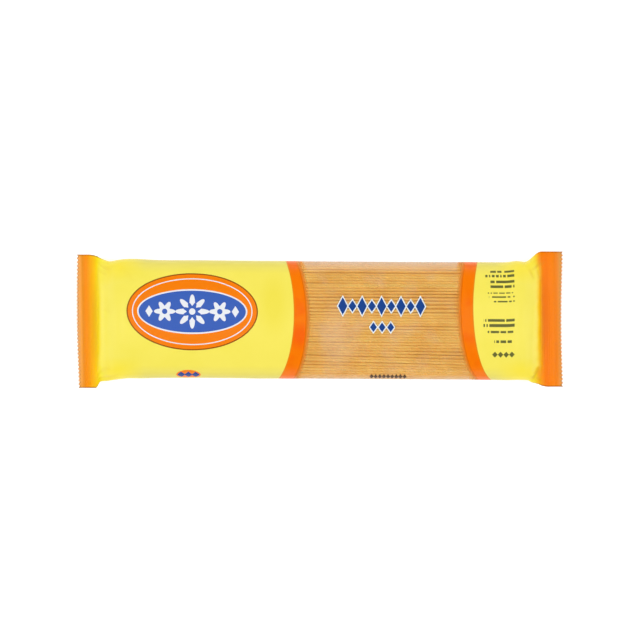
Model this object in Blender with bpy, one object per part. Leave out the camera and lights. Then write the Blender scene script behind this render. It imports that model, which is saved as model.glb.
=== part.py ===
"""A packet of dry spaghetti, lying on its back seam. Metres, +Z up.

X runs along the pasta, and the origin is on the ground under the middle of the pack.
Two pieces: film_wrap is the plastic film, whose printed ends hide what they hold and so are
solid, joined under the pack by the strip of its back seam. spaghetti is the bundle that shows
between the printed ends, through the clear stretch of the film.
"""

import math
import random

import bmesh
import bpy
from mathutils import Matrix

MM = 0.001

# The whole pack
LENGTH = 294 * MM  # along the middle: the cut edges lean a little
HEIGHT = 26 * MM
BODY_WIDTH = 71.4 * MM
LEFT_SWELL = 1.4 * MM  # the body is a little wider towards its left end
BODY_YAW = math.radians(-0.32)  # the body lies slightly askew between its seals
TOP_SQUARENESS = 2.5  # exponent of the superellipse over the top of the body
BASE_SQUARENESS = 3.2
BASE_PRESS = 0.45 * MM  # how much of the underside is pressed flat on the ground

# The shoulders, where the film drops from the body to the flat seals
SHOULDER_START = 117 * MM
SHOULDER_CURVE = 2.2
SHOULDER_STEEPNESS = 0.77
LENS_SQUARENESS = 1.45  # the section is a pointed lens just before the seal
PLEAT_DEPTH = 0.55 * MM
PLEAT_WAVES = 7.0

# The crimped end seals
SEAL_THICKNESS = 0.7 * MM
SEAL_Z = 12.5 * MM
SEAL_DROOP = 1.6 * MM
SEAL_SQUARENESS = 8.0
SEAL_BLEND = 2.5 * MM
RIB_PITCH = 1.5 * MM  # the ridges that the sealing jaws press along the seal
RIB_HEIGHT = 0.22 * MM
RIB_COUNT = 6
RIB_START = 1.6 * MM  # from the inner side of the seal
TRIM_SPARE = 3 * MM  # film past the cut line, which the zigzag knife removes
TOOTH_PITCH = 2.35 * MM
TOOTH_DEPTH = 1.2 * MM
CUT_LEAN = math.radians(0.8)

# The clear stretch between the printed ends, seen from above: each side is an arc of an ellipse
WINDOW_LEFT = -6.9 * MM
WINDOW_RIGHT = 84.7 * MM
ARC_DEPTH = 17.5 * MM
ARC_STEPS = 20
WINDOW_HALF_WIDTH = 37.6 * MM
LEFT_ARC_HALF, LEFT_ARC_Y = 42.6 * MM, 4.2 * MM
RIGHT_ARC_HALF, RIGHT_ARC_Y = 48.7 * MM, 9.1 * MM
BLOCK_BASE, BLOCK_TOP = -6 * MM, 34 * MM

# The back seam, a flap folded flat along the underside
FLAP_WIDTH = 11 * MM
FLAP_THICKNESS = 0.8 * MM
FLAP_GROOVE = 0.6 * MM

# The pasta
STRAND_DIAMETER = 1.7 * MM
STRAND_PITCH = 1.78 * MM
STRAND_SIDES = 8
STRAND_YAW = math.radians(0.35)
STRAND_BURIED = 0.5 * MM  # how deep the groove between two strands is
CROSSING_STRANDS = 9
CROSSING_YAW = math.radians(2.2)
FILM_ROOM = 0.35 * MM  # from the outside of the film to the pasta under it
GAP = 0.3 * MM

RING_STEPS = 34  # points over the top of a section, and as many under it
BODY_STATIONS = [-117 * MM, -90 * MM, -50 * MM, 0, 60 * MM, 117 * MM]
SHOULDER_RINGS = 9


class End:
    """What differs between the two ends of the pack."""

    def __init__(self, side, seal_start, flare_start, flare_end, seal_width, seal_y):
        self.side = side
        self.seal_start = seal_start
        self.flare_start = flare_start
        self.flare_end = flare_end
        self.seal_width = seal_width
        self.seal_y = seal_y


LEFT = End(-1, 135.5 * MM, 128 * MM, 139 * MM, 81.8 * MM, -0.7 * MM)
RIGHT = End(1, 134.6 * MM, 125.5 * MM, 137 * MM, 82.8 * MM, 0.5 * MM)


def ease(value, start, end):
    """0 before start, 1 after end, and a smooth step between."""
    t = min(max((value - start) / (end - start), 0.0), 1.0)
    return t * t * (3 - 2 * t)


def mix(a, b, share):
    return a + (b - a) * share


def material(name, colour, roughness):
    made = bpy.data.materials.new(name)
    made.use_nodes = True
    shader = made.node_tree.nodes["Principled BSDF"]
    shader.inputs["Base Color"].default_value = (*colour, 1)
    shader.inputs["Roughness"].default_value = roughness
    shader.inputs["Metallic"].default_value = 0.0
    made.diffuse_color = (*colour, 1)
    return made


def collection(name, hidden=False):
    made = bpy.data.collections.new(name)
    made.hide_render = hidden
    bpy.context.scene.collection.children.link(made)
    return made


def mesh_object(name, bm, home, look=None):
    """A bmesh turned into an object of the collection home, its faces pointing out."""
    bmesh.ops.recalc_face_normals(bm, faces=bm.faces)
    mesh = bpy.data.meshes.new(name)
    bm.to_mesh(mesh)
    bm.free()
    made = bpy.data.objects.new(name, mesh)
    home.objects.link(made)
    if look:
        mesh.materials.append(look)
    return made


def cutter(made):
    made.hide_render = True
    made.display_type = "WIRE"
    return made


def boolean(target, operation, other, solver="EXACT"):
    step = target.modifiers.new(operation.lower() + "_" + other.name, "BOOLEAN")
    step.operation = operation
    step.object = other
    step.solver = solver


def rib_wave(along):
    """From -1 to 1 across the ridges of a seal, and 0 where the seal is plain."""
    if not 0 < along < RIB_COUNT * RIB_PITCH:
        return 0.0
    return -math.cos(2 * math.pi * along / RIB_PITCH)


def section_points(x, inset=0.0):
    """The outline of the pack at x, as (y, z): from its -Y edge under the base, then back over."""
    end = LEFT if x < 0 else RIGHT
    reach = abs(x)
    down = min(max((reach - SHOULDER_START) / (end.seal_start - SHOULDER_START), 0.0), 1.0)
    flat = ease(reach, end.seal_start, end.seal_start + SEAL_BLEND)
    flare = ease(reach, end.flare_start, end.flare_end)
    swell = LEFT_SWELL * ease(-x, 30 * MM, 105 * MM)
    body_half = (BODY_WIDTH + swell) / 2
    half_width = mix(body_half, end.seal_width / 2, flare) - inset
    fullness = (1 - down**SHOULDER_CURVE) ** SHOULDER_STEEPNESS
    lens = ease(down, 0.35, 1.0)
    top_n = mix(mix(TOP_SQUARENESS, LENS_SQUARENESS, lens), SEAL_SQUARENESS, flat)
    base_n = mix(mix(BASE_SQUARENESS, LENS_SQUARENESS, lens), SEAL_SQUARENESS, flat)
    top = HEIGHT / 2 * fullness + SEAL_THICKNESS / 2 - inset
    base = top + BASE_PRESS * fullness
    droop = SEAL_DROOP * ease(reach, end.seal_start, LENGTH / 2)
    ridge = RIB_HEIGHT / 2 * rib_wave(reach - end.seal_start - RIB_START)
    centre_z = mix(SEAL_Z, (HEIGHT - SEAL_THICKNESS) / 2, fullness) - droop + ridge
    centre_y = mix(math.tan(BODY_YAW) * x, end.seal_y, flare)
    pleats = PLEAT_DEPTH * 4 * down * (1 - down) * ease(down, 0.1, 0.5)
    points = []
    for half in (-1, 1):
        height, n = (base, base_n) if half < 0 else (top, top_n)
        for step in range(RING_STEPS):
            across = half * math.cos(math.pi * step / RING_STEPS)
            out = min(abs(across), 1.0)
            rise = height * (1 - out**n) ** (1 / n)
            ruffle = pleats * math.sin(PLEAT_WAVES * math.pi * across - end.side) * (1 - out**4)
            z = max(centre_z + half * (rise + ruffle), inset)
            points.append((centre_y + across * half_width, z))
    return points


def stations():
    """Where along X a ring of the film is made, from the left tip to the right one."""
    found = list(BODY_STATIONS)
    for end in (LEFT, RIGHT):
        drop = end.seal_start - SHOULDER_START
        for ring in range(1, SHOULDER_RINGS + 1):
            eased = math.sin(math.pi / 2 * ring / SHOULDER_RINGS)
            found.append(end.side * (SHOULDER_START + drop * eased))
        for half_rib in range(2 * RIB_COUNT + 1):
            found.append(end.side * (end.seal_start + RIB_START + half_rib * RIB_PITCH / 2))
        found.append(end.side * (LENGTH / 2 + TRIM_SPARE))
    return sorted(found)


def lofted(rings):
    """A closed skin through rings of points that all have the same count."""
    bm = bmesh.new()
    loops = [[bm.verts.new(point) for point in ring] for ring in rings]
    for one, two in zip(loops, loops[1:]):
        for i in range(len(one)):
            j = (i + 1) % len(one)
            bm.faces.new((one[i], one[j], two[j], two[i]))
    bm.faces.new(loops[0][::-1])
    bm.faces.new(loops[-1])
    return bm


def extruded(outline, base, top):
    """A closed prism over a flat outline, from the height base to top."""
    bm = bmesh.new()
    face = bm.faces.new([bm.verts.new((x, y, base)) for x, y in outline])
    raised = bmesh.ops.extrude_face_region(bm, geom=[face])["geom"]
    corners = [item for item in raised if isinstance(item, bmesh.types.BMVert)]
    bmesh.ops.translate(bm, vec=(0, 0, top - base), verts=corners)
    return bm


def box(name, low, high, home):
    bm = bmesh.new()
    bmesh.ops.create_cube(bm, size=1)
    size = [b - a for a, b in zip(low, high)]
    middle = [(a + b) / 2 for a, b in zip(low, high)]
    bmesh.ops.scale(bm, vec=size, verts=bm.verts)
    bmesh.ops.translate(bm, vec=middle, verts=bm.verts)
    return mesh_object(name, bm, home)


def window_edge(side, y, inset):
    """The x of the printed film's edge at y, for the left (-1) or the right (1) of the window."""
    half, centre = (LEFT_ARC_HALF, LEFT_ARC_Y) if side < 0 else (RIGHT_ARC_HALF, RIGHT_ARC_Y)
    apex = WINDOW_LEFT if side < 0 else WINDOW_RIGHT
    fall = ARC_DEPTH * (1 - math.sqrt(1 - ((y - centre) / half) ** 2))
    return apex + side * (fall - inset)


def window_block(name, inset, home):
    """The clear stretch as a block, which leaves out the flap of the back seam under it."""
    ys = [WINDOW_HALF_WIDTH * (2 * step / ARC_STEPS - 1) for step in range(ARC_STEPS + 1)]
    left = [(window_edge(-1, y, inset), y) for y in ys]
    right = [(window_edge(1, y, inset), y) for y in reversed(ys)]
    block = mesh_object(name, extruded(left + right, BLOCK_BASE, BLOCK_TOP), home)
    half = FLAP_WIDTH / 2 + inset
    top = FLAP_THICKNESS + inset
    slot = box(name + "_slot", (-LENGTH, -half, 2 * BLOCK_BASE), (LENGTH, half, top), home)
    boolean(block, "DIFFERENCE", cutter(slot))
    return cutter(block)


def zigzag_knife(end, home):
    """A block beyond one end, whose near side is the row of teeth that the knife cuts."""
    teeth = round(end.seal_width / TOOTH_PITCH) + 4
    span = teeth * TOOTH_PITCH
    outline = []
    for step in range(2 * teeth + 1):
        y = -span / 2 + step * TOOTH_PITCH / 2
        depth = TOOTH_DEPTH if step % 2 else 0
        outline.append((end.side * (LENGTH / 2 - depth) - math.tan(CUT_LEAN) * y, y))
    far = end.side * (LENGTH / 2 + 10 * MM)
    outline += [(far, span / 2), (far, -span / 2)]
    name = "knife_left" if end.side < 0 else "knife_right"
    return cutter(mesh_object(name, extruded(outline, BLOCK_BASE, BLOCK_TOP), home))


def make_film(home, cutters, printed, seal_ink):
    rings = [[(x, y, z) for y, z in section_points(x)] for x in stations()]
    film = mesh_object("film_wrap", lofted(rings), home, printed)
    film.data.materials.append(seal_ink)
    for face in film.data.polygons:
        end = LEFT if face.center.x < 0 else RIGHT
        face.material_index = int(abs(face.center.x) > end.seal_start)
    boolean(film, "DIFFERENCE", window_block("window", 0.0, cutters))
    for end in (LEFT, RIGHT):
        boolean(film, "DIFFERENCE", zigzag_knife(end, cutters))
    edge = FLAP_WIDTH / 2
    low = (-SHOULDER_START, edge, BLOCK_BASE)
    high = (SHOULDER_START, edge + FLAP_GROOVE, FLAP_THICKNESS / 2)
    boolean(film, "DIFFERENCE", cutter(box("flap_groove", low, high, cutters)))
    film.data.shade_smooth()
    film.data.set_sharp_from_angle(angle=math.radians(40))
    return film


def walk(outline, pitch, vary):
    """Points along a closed outline, about one pitch apart, with vary as the uneven share."""
    total = sum(math.dist(a, b) for a, b in zip(outline, outline[1:] + outline[:1]))
    count = int(total / pitch)
    weights = [1 + random.uniform(-vary, vary) for _ in range(count)]
    marks = [0.0]
    for weight in weights[:-1]:
        marks.append(marks[-1] + total * weight / sum(weights))
    found, travelled, mark = [], 0.0, 0
    for a, b in zip(outline, outline[1:] + outline[:1]):
        length = math.dist(a, b)
        while mark < count and marks[mark] <= travelled + length:
            share = (marks[mark] - travelled) / length
            found.append((mix(a[0], b[0], share), mix(a[1], b[1], share)))
            mark += 1
        travelled += length
    return found


def strand(name, centre, yaw, length, home):
    """One straight piece of spaghetti along X, rolled about its own axis at random."""
    bm = bmesh.new()
    radius = STRAND_DIAMETER / 2
    bmesh.ops.create_cone(
        bm, cap_ends=True, segments=STRAND_SIDES, radius1=radius, radius2=radius, depth=length
    )
    roll = Matrix.Rotation(random.uniform(0, math.pi), 4, "Z")
    lie = Matrix.Rotation(BODY_YAW + yaw, 4, "Z") @ Matrix.Rotation(math.pi / 2, 4, "Y")
    bmesh.ops.transform(bm, matrix=Matrix.Translation(centre) @ lie @ roll, verts=bm.verts)
    return mesh_object(name, bm, home)


def make_spaghetti(home, cutters, pasta):
    """A core under the outer strands, with the strands fused on it."""
    random.seed(11)
    middle = (WINDOW_LEFT + WINDOW_RIGHT) / 2
    length = WINDOW_RIGHT - WINDOW_LEFT + 2 * ARC_DEPTH
    outline = section_points(middle, FILM_ROOM + STRAND_DIAMETER / 2)
    centres = walk(outline, STRAND_PITCH, 0.04)
    rings = []
    for x in (middle - length / 2, middle + length / 2):
        shift = math.tan(BODY_YAW) * (x - middle)
        surface = section_points(middle, FILM_ROOM + STRAND_BURIED)
        rings.append([(x, y + shift, z) for y, z in surface])
    core = mesh_object("spaghetti", lofted(rings), home, pasta)

    fused = collection("outer_strands", hidden=True)
    for number, (y, z) in enumerate(centres):
        yaw = random.uniform(-STRAND_YAW, STRAND_YAW)
        strand(f"strand_{number}", (middle, y, z), yaw, 2 * length, fused)
    over = [point for point in centres if point[1] > HEIGHT * 0.7]
    for number in range(CROSSING_STRANDS):
        y, z = random.choice(over)
        yaw = random.choice((-1, 1)) * random.uniform(0.4, 1.0) * CROSSING_YAW
        x = middle + random.uniform(-length / 3, length / 3)
        strand(f"crossing_{number}", (x, y, z), yaw, length / 3, fused)

    union = core.modifiers.new("strands", "BOOLEAN")
    union.operation = "UNION"
    union.operand_type = "COLLECTION"
    union.collection = fused
    union.solver = "MANIFOLD"
    bpy.context.view_layer.update()
    graph = bpy.context.evaluated_depsgraph_get()
    joined = bpy.data.meshes.new_from_object(core.evaluated_get(graph))
    core.modifiers.clear()
    core.data = joined
    for item in list(fused.objects):
        bpy.data.objects.remove(item)
    bpy.data.collections.remove(fused)

    boolean(core, "INTERSECT", window_block("inner_window", GAP, cutters), "MANIFOLD")
    core.data.shade_smooth()
    core.data.set_sharp_from_angle(angle=math.radians(50))
    return core


def main():
    for item in list(bpy.data.objects):
        bpy.data.objects.remove(item)
    packet = collection("pasta_packet")
    cutters = collection("cutters", hidden=True)
    printed = material("printed_film", (0.93, 0.81, 0.13), 0.35)
    seal_ink = material("orange_seal", (0.95, 0.24, 0.01), 0.4)
    pasta = material("durum_pasta", (0.76, 0.41, 0.12), 0.5)
    make_film(packet, cutters, printed, seal_ink)
    make_spaghetti(packet, cutters, pasta)


main()
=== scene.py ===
# %% [markdown]
# # A packet of dry spaghetti
#
# The real thing is a flow-wrap pack. A printed plastic film is folded round a bundle of spaghetti,
# its two long edges are sealed together along the back, and hot jaws crimp both ends flat.
# The pack lies on its back seam, so the printed side looks up.
#
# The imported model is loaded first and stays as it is. It says where everything goes, in metres.
# New pieces are then made over it, and each one rides on the model's only body, "root".

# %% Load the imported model
import math
import random

import bmesh
import bpy
import numpy as np
from mathutils import Matrix, Vector, noise


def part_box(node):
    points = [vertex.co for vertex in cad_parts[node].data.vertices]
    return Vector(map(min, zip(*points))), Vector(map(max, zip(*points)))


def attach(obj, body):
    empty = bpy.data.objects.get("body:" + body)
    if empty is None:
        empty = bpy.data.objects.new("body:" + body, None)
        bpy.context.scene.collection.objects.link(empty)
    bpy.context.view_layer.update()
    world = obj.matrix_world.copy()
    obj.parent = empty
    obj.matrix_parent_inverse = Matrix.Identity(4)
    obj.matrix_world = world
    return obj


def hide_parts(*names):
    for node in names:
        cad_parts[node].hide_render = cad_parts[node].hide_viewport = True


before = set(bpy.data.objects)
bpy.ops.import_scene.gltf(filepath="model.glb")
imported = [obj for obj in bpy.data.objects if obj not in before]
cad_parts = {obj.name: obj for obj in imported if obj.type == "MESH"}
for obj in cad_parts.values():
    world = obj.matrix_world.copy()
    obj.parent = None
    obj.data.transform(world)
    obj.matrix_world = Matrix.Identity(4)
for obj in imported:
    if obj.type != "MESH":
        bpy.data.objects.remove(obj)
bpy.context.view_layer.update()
film_low, film_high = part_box("film_wrap")
pasta_low, pasta_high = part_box("spaghetti")
print("film", [round(1000 * v, 1) for v in film_high - film_low], "mm")
print("pasta", [round(1000 * v, 1) for v in pasta_high - pasta_low], "mm")

# %% [markdown]
# ## The camera
#
# The photograph looks straight down on the pack from far away, as product shots do, so that the
# print isn't distorted. A long lens at the right distance gives the same view. The pack fills 485
# of the picture's 640 pixels, which sets how wide a strip of the ground the camera has to see.

# %% Camera
MM = 0.001
PICTURE = 640  # pixels across the photograph
PACK_PIXELS = 485.5
LENS = 135.0
SENSOR = 36.0

pack_length = film_high.x - film_low.x
view_width = pack_length * PICTURE / PACK_PIXELS
camera_data = bpy.data.cameras.new("camera")
camera_data.lens = LENS
camera_data.sensor_width = SENSOR
camera = bpy.data.objects.new("camera", camera_data)
bpy.context.scene.collection.objects.link(camera)
camera.location = (0, 0, view_width * LENS / SENSOR + film_high.z / 2)
bpy.context.scene.camera = camera
print("camera", round(camera.location.z, 3), "m up, sees", round(1000 * view_width), "mm")

# %% [markdown]
# ## The shape of the film
#
# Film bends but hardly stretches, so the distance round the tube is the same everywhere: where the
# tube is pressed flat it is wide, and where it wraps the bundle it is narrow and thick. A section
# of the pack is a superellipse, a rounded box whose squareness is one number. It can be made by
# sculpting, by cloth simulation or by formula. A formula is used here, because every point of the
# film then knows its place on the flat print: x along the pack and g, the girth, round it from the
# middle of the front.

# %% Sizes of the pack
HEIGHT = film_high.z
TIP = {-1: 148.3 * MM, 1: 147.2 * MM}  # the points of the cut teeth, at the middle
CUT_LEAN = {-1: 0.5 * MM, 1: 0.05 * MM}  # how far each cut leans, from its middle to its end
CUT_BEND = 0.75 * MM  # both cuts are bowed to the left by this much
GIRTH = 165 * MM
QUARTER = GIRTH / 4
FILM = 0.1 * MM  # thicker than the real 0.05 mm, so that its faces stay apart
SEAL_THICKNESS = 0.35 * MM
SEAL_Z = 12.5 * MM  # the height at which a seal leaves the body
SEAL_DROOP = 1.6 * MM  # and how far its cut edge hangs below that
SEAL_START = {-1: 135.5 * MM, 1: 134.6 * MM}
SHOULDER_START = 117 * MM  # from here on the body gets thinner
SHOULDER_CURVE = 2.2  # more than 1 makes the fall start gently
SHOULDER_STEEPNESS = 0.77  # less than 1 makes it end steeply at the seal
AXIS_SLOPE = -0.0059  # the body lies slightly askew between its seals
TAPER = 0.0003  # and each of its long edges leans out towards the right by this slope
BODY_HALF = 35.93 * MM
TOP_SQUARE, BASE_SQUARE, LENS_SQUARE, SEAL_SQUARE = 2.5, 3.2, 1.45, 8.0  # 2 is an ellipse
LENS_FROM = 0.35  # the share of the shoulder after which the section turns into a lens
BASE_PRESS = 0.45 * MM  # the weight presses this much of the underside flat
RIB_PITCH, RIB_HEIGHT, RIB_COUNT, RIB_START = 1.5 * MM, 0.22 * MM, 6, 1.6 * MM
ROWS = 280  # rows of the film's mesh round the pack, four to each tooth
TOOTH_PITCH = GIRTH / (ROWS / 4)
TOOTH_DEPTH = 0.9 * MM
FLAP_HALF = 5.5 * MM
FLAP_ROOM = 0.45 * MM  # the body's underside is this far up over the back seam's flap
FLOOR_ROOM = 0.03 * MM  # and the lowest point of all is this far over the ground


def ease(value, start, end):
    """0 before start, 1 after end, and a smooth step between."""
    t = np.clip((value - start) / (end - start), 0, 1)
    return t * t * (3 - 2 * t)


def mix(a, b, share):
    return a + (b - a) * share


def hump(value, at, width):
    """A smooth bump of height 1 around at."""
    return np.exp(-(((value - at) / width) ** 2))


# %% [markdown]
# The two long edges are seen in the photograph as the pack's outline. They run straight along the
# body, swell a little before each shoulder, pinch in at the neck and flare out to the seal, which
# is as wide as half the girth. All four corners differ: the film was gathered differently at each.
# So each edge is a straight line with a few short bumps and steps, which the tables list in mm.

# %% Long edges
# The +Y edge is 1 and the -Y edge is -1. Ends of the pack: -1 is the left one and 1 the right one
BUMPS = {  # the x of its top, its half width, and how far out it stands
    1: ((-114, 12, 0.8), (-129, 6, -1.2), (119.5, 4.5, 0.85)),
    -1: ((121, 4, -0.25),),
}
STEPS = {  # the end, where the step starts and stops, as distances from the middle, and its size
    1: (),
    -1: ((-1, 95, 110, 0.3), (-1, 114.5, 136, 2.3), (1, 126, 129, 1.0)),
}
FLARES = {  # the end, where the flare starts and stops, and how far out the seal's edge lies
    1: ((-1, 126, 141, 39.85), (1, 123.8, 134.5, 41.7)),
    -1: ((-1, 133.2, 136.2, 41.3), (1, 126, 139, 40.6)),
}


def long_edges(x):
    """The y of the pack's +Y edge and of its -Y edge at x."""
    edges = []
    for side in (1, -1):
        out = BODY_HALF + (side * AXIS_SLOPE + TAPER) * x
        for top, width, height in BUMPS[side]:
            out = out + height * MM * hump(x, top * MM, width * MM)
        for end, start, stop, size in STEPS[side]:
            out = out + size * MM * ease(end * x, start * MM, stop * MM)
        for end, start, stop, seal in FLARES[side]:
            out = mix(out, seal * MM, ease(end * x, start * MM, stop * MM))
        edges.append(side * out)
    return edges


for x in (-0.14, -0.1264, -0.114, 0.0, 0.11, 0.1242, 0.14):
    print("edges at", x, [round(1000 * float(y), 1) for y in long_edges(np.float64(x))])

# %% [markdown]
# A section is drawn by walking along its arch in equal steps of length, so that the film isn't
# stretched. The arch has no simple formula for its length, so it is measured on many short
# chords, and each wanted share of the length is looked up among them.

# %% A section of the pack
CHORDS = 96


def along_arch(share, half_width, rise, square):
    """Where share, -1 to 1 of the arch's length, falls: how far across and up, as -1 to 1 and 0 to 1."""
    steps = np.sin(np.linspace(-0.5, 0.5, CHORDS + 1) * np.pi)
    up = (1 - np.abs(steps) ** square[:, None]) ** (1 / square[:, None])
    chords = np.hypot(np.diff(steps) * half_width[:, None], np.diff(up) * rise[:, None])
    run = np.concatenate([np.zeros((len(share), 1)), chords.cumsum(axis=1)], axis=1)
    run /= run[:, -1:]
    wanted = (share + 1) / 2
    after = (run < wanted[:, None]).sum(axis=1).clip(1, CHORDS)
    rows = np.arange(len(share))
    before = after - 1
    part = (wanted - run[rows, before]) / (run[rows, after] - run[rows, before])
    return mix(steps[before], steps[after], part), mix(up[rows, before], up[rows, after], part)


def rib_wave(along):
    inside = (along > 0) & (along < RIB_COUNT * RIB_PITCH)
    return np.where(inside, -np.cos(2 * np.pi * along / RIB_PITCH), 0)


# %% [markdown]
# ## The clear stretch
#
# Between the printed ends the film carries no ink, and the pasta shows through it. The ink stops
# at an arc on either side, and an orange band lies between that arc and a second one. The arcs are
# parts of ellipses as seen from above, so their place on the film comes from the y of each point.
# The cut ends are drawn in the same way: a row of zigzag teeth on a line that leans a little.

# %% The edges of the print
WINDOW_LEFT, WINDOW_RIGHT = -8.7 * MM, 85.3 * MM
# Each arc: the x of its apex, its depth, the half height of its ellipse and the y of its centre
INK_ARCS = {
    -1: (WINDOW_LEFT, -14.0 * MM, 41.0 * MM, 1.0 * MM),
    1: (WINDOW_RIGHT, 14.5 * MM, 44.6 * MM, 8.0 * MM),
}
BAND_ARCS = {
    -1: (-15.8 * MM, -15.7 * MM, 43.5 * MM, 4.0 * MM),
    1: (92.4 * MM, 14.5 * MM, 44.6 * MM, 8.0 * MM),
}


def arc_x(arc, y):
    apex, depth, half, centre = arc
    return apex + depth * (1 - np.sqrt(1 - ((y - centre) / half) ** 2))


def window_edge(side, y):
    """The x where the ink stops at y, on the left (-1) or the right (1) of the clear stretch."""
    return arc_x(INK_ARCS[side], y)


def band_edge(side, y):
    """The x of the orange band's other edge, where the yellow starts."""
    return arc_x(BAND_ARCS[side], y)


def arch_share(g):
    """How far across the arch over or under it the film's point g lies, from -1 to 1."""
    return np.where(np.abs(g) <= QUARTER, g, np.sign(g) * 2 * QUARTER - g) / QUARTER


def body_place(g):
    """The y of the film's point g on the body, where the section hardly changes."""
    one = np.ones_like(g)
    arch = along_arch(arch_share(g), BODY_HALF * one, HEIGHT / 2 * one, TOP_SQUARE * one)
    return arch[0] * BODY_HALF


def past_window(x, g):
    """How far x, g lies past the ink's edge, in metres: below 0 on the clear stretch."""
    y = body_place(g)
    return np.maximum(window_edge(-1, y) - x, x - window_edge(1, y))


def past_band(x, g):
    """How far x, g lies past the orange bands, in metres."""
    y = body_place(g)
    return np.maximum(band_edge(-1, y) - x, x - band_edge(1, y))


def tip(side, g, depth=TOOTH_DEPTH):
    """The x of the zigzag cut at g."""
    tooth = np.abs((g / TOOTH_PITCH + 0.5) % 1 * 2 - 1)
    across = body_place(g) / BODY_HALF
    lean = np.where(side < 0, CUT_LEAN[-1], CUT_LEAN[1]) * across
    point = np.where(side < 0, TIP[-1], TIP[1]) - depth * (1 - tooth)
    return side * point - lean + CUT_BEND * across**2


print("the arc reaches", round(1000 * float(window_edge(-1, np.float64(-0.0355)))), "mm at the side")

# %% [markdown]
# ## Folds and creases
#
# At each end the film has to give up its roundness within 10 mm, so it gathers into short folds
# that start at the seal and fade out on the body. Each fold here is a line on the flat film with
# a depth and a width. A few are placed where the photograph shows them, at the four corners, and
# the rest are drawn at random from a seeded generator, so that every run gives the same pack.

# %% Folds
FOLD_SEED = 5
random.seed(FOLD_SEED)
# Each fold: x and g of its two ends, its depth (below 0 is a valley) and its half width, in mm
folds = [
    (-136, 38, -126, 32, -0.4, 1.2),
    (-136, 33, -129, 30, -0.25, 1.0),
    (-136, -40, -122, -34, -0.4, 1.4),
    (-136, -36, -127, -29, -0.3, 1.2),
    (-134, -30, -124, -24, 0.25, 1.6),
    (-121, 32, -112, 22, -0.12, 1.4),
    (-131, 8, -125, 4, -0.15, 1.2),
    (136, 39, 125, 35, 0.5, 1.4),
    (136, 34, 127, 31, -0.5, 1.0),
    (126.5, 31.5, 129.5, 25, -0.5, 0.8),
    (131, 33, 133, 24, -0.4, 0.7),
    (136, -39, 127, -36, -0.6, 1.3),
    (133, -30.5, 128.5, -38.5, -0.9, 0.8),
    (136, -28, 126, -30, 0.25, 1.6),
]
placed = len(folds)
END_FOLDS, BODY_FOLDS = 30, 14  # how many more there are at each seal, and on the left panel
for end in (-1, 1):
    for number in range(END_FOLDS):
        g = random.uniform(-80, 80)
        reach = random.uniform(3, 9)
        lean = random.uniform(-0.3, 0.3) * reach
        depth = random.choice((-1, -1, 1)) * random.uniform(0.1, 0.3)
        start = end * 1000 * SEAL_START[end]
        folds.append((start, g, start - end * reach, g + lean, depth, random.uniform(0.8, 2.0)))
for number in range(BODY_FOLDS):
    x, g, reach = random.uniform(-112, -35), random.uniform(-70, 70), random.uniform(14, 40)
    turn = random.uniform(-0.5, 0.5)
    end_x, end_g = x + reach * math.cos(turn), g + reach * math.sin(turn)
    folds.append((x, g, end_x, end_g, random.uniform(-0.1, 0.08), random.uniform(2.5, 5.0)))
FADE_START = 0.12  # how far along its fade a fold starts
print(len(folds), "folds")


def fold_height(x, g, chosen=folds):
    """How far the folds push the film out at x, g. Each fades out at its far end."""
    total = np.zeros_like(x)
    for x0, g0, x1, g1, depth, width in chosen:
        x0, g0, x1, g1, depth, width = (MM * v for v in (x0, g0, x1, g1, depth, width))
        run = np.array((x1 - x0, g1 - g0))
        along = ((x - x0) * run[0] + (g - g0) * run[1]) / (run @ run)
        t = np.clip(along, 0, 1)
        away = np.hypot(x - x0 - t * run[0], g - g0 - t * run[1])
        fade = np.sqrt(np.sin(np.pi * np.clip(mix(FADE_START, 1, t), 0, 1)))
        total += depth * fade * np.exp(-((away / width) ** 2))
    return total


def soft_noise(x, y, size_x, size_y, seed):
    """Smooth noise from -1 to 1, with patches about size_x by size_y."""
    points = zip((x / size_x).tolist(), (y / size_y).tolist())
    return np.array([noise.noise((a, b, seed)) for a, b in points])


# %% [markdown]
# Now one function can put any point of the flat film in its place on the pack. It also gives the
# film its unevenness, which is fainter where the film is clear, because it lies tight on the
# strands there. The lift moves a point out from the surface, so that the flap can lie on the film.

# %% From the flat film to the pack
# Each unevenness: the length and width of its patches, its height on clear and on printed film, in
# mm, and a number that its noise starts from
UNEVEN = ((60, 22, 0.08, 0.3, 7.7), (14, 7, 0.03, 0.09, 1.3))
TIGHT = 0.08 * MM  # the body lies this far inside its ideal section
SEAL_WAVE = (90 * MM, 26 * MM, 0.9 * MM)  # the length, width and height of the seals' own waves
SHALLOW = 0.25  # the share of a fold's depth that is left on clear film
FOLD_LIMIT = 0.4  # the share of the pack's half height that a fold may go in by


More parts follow.
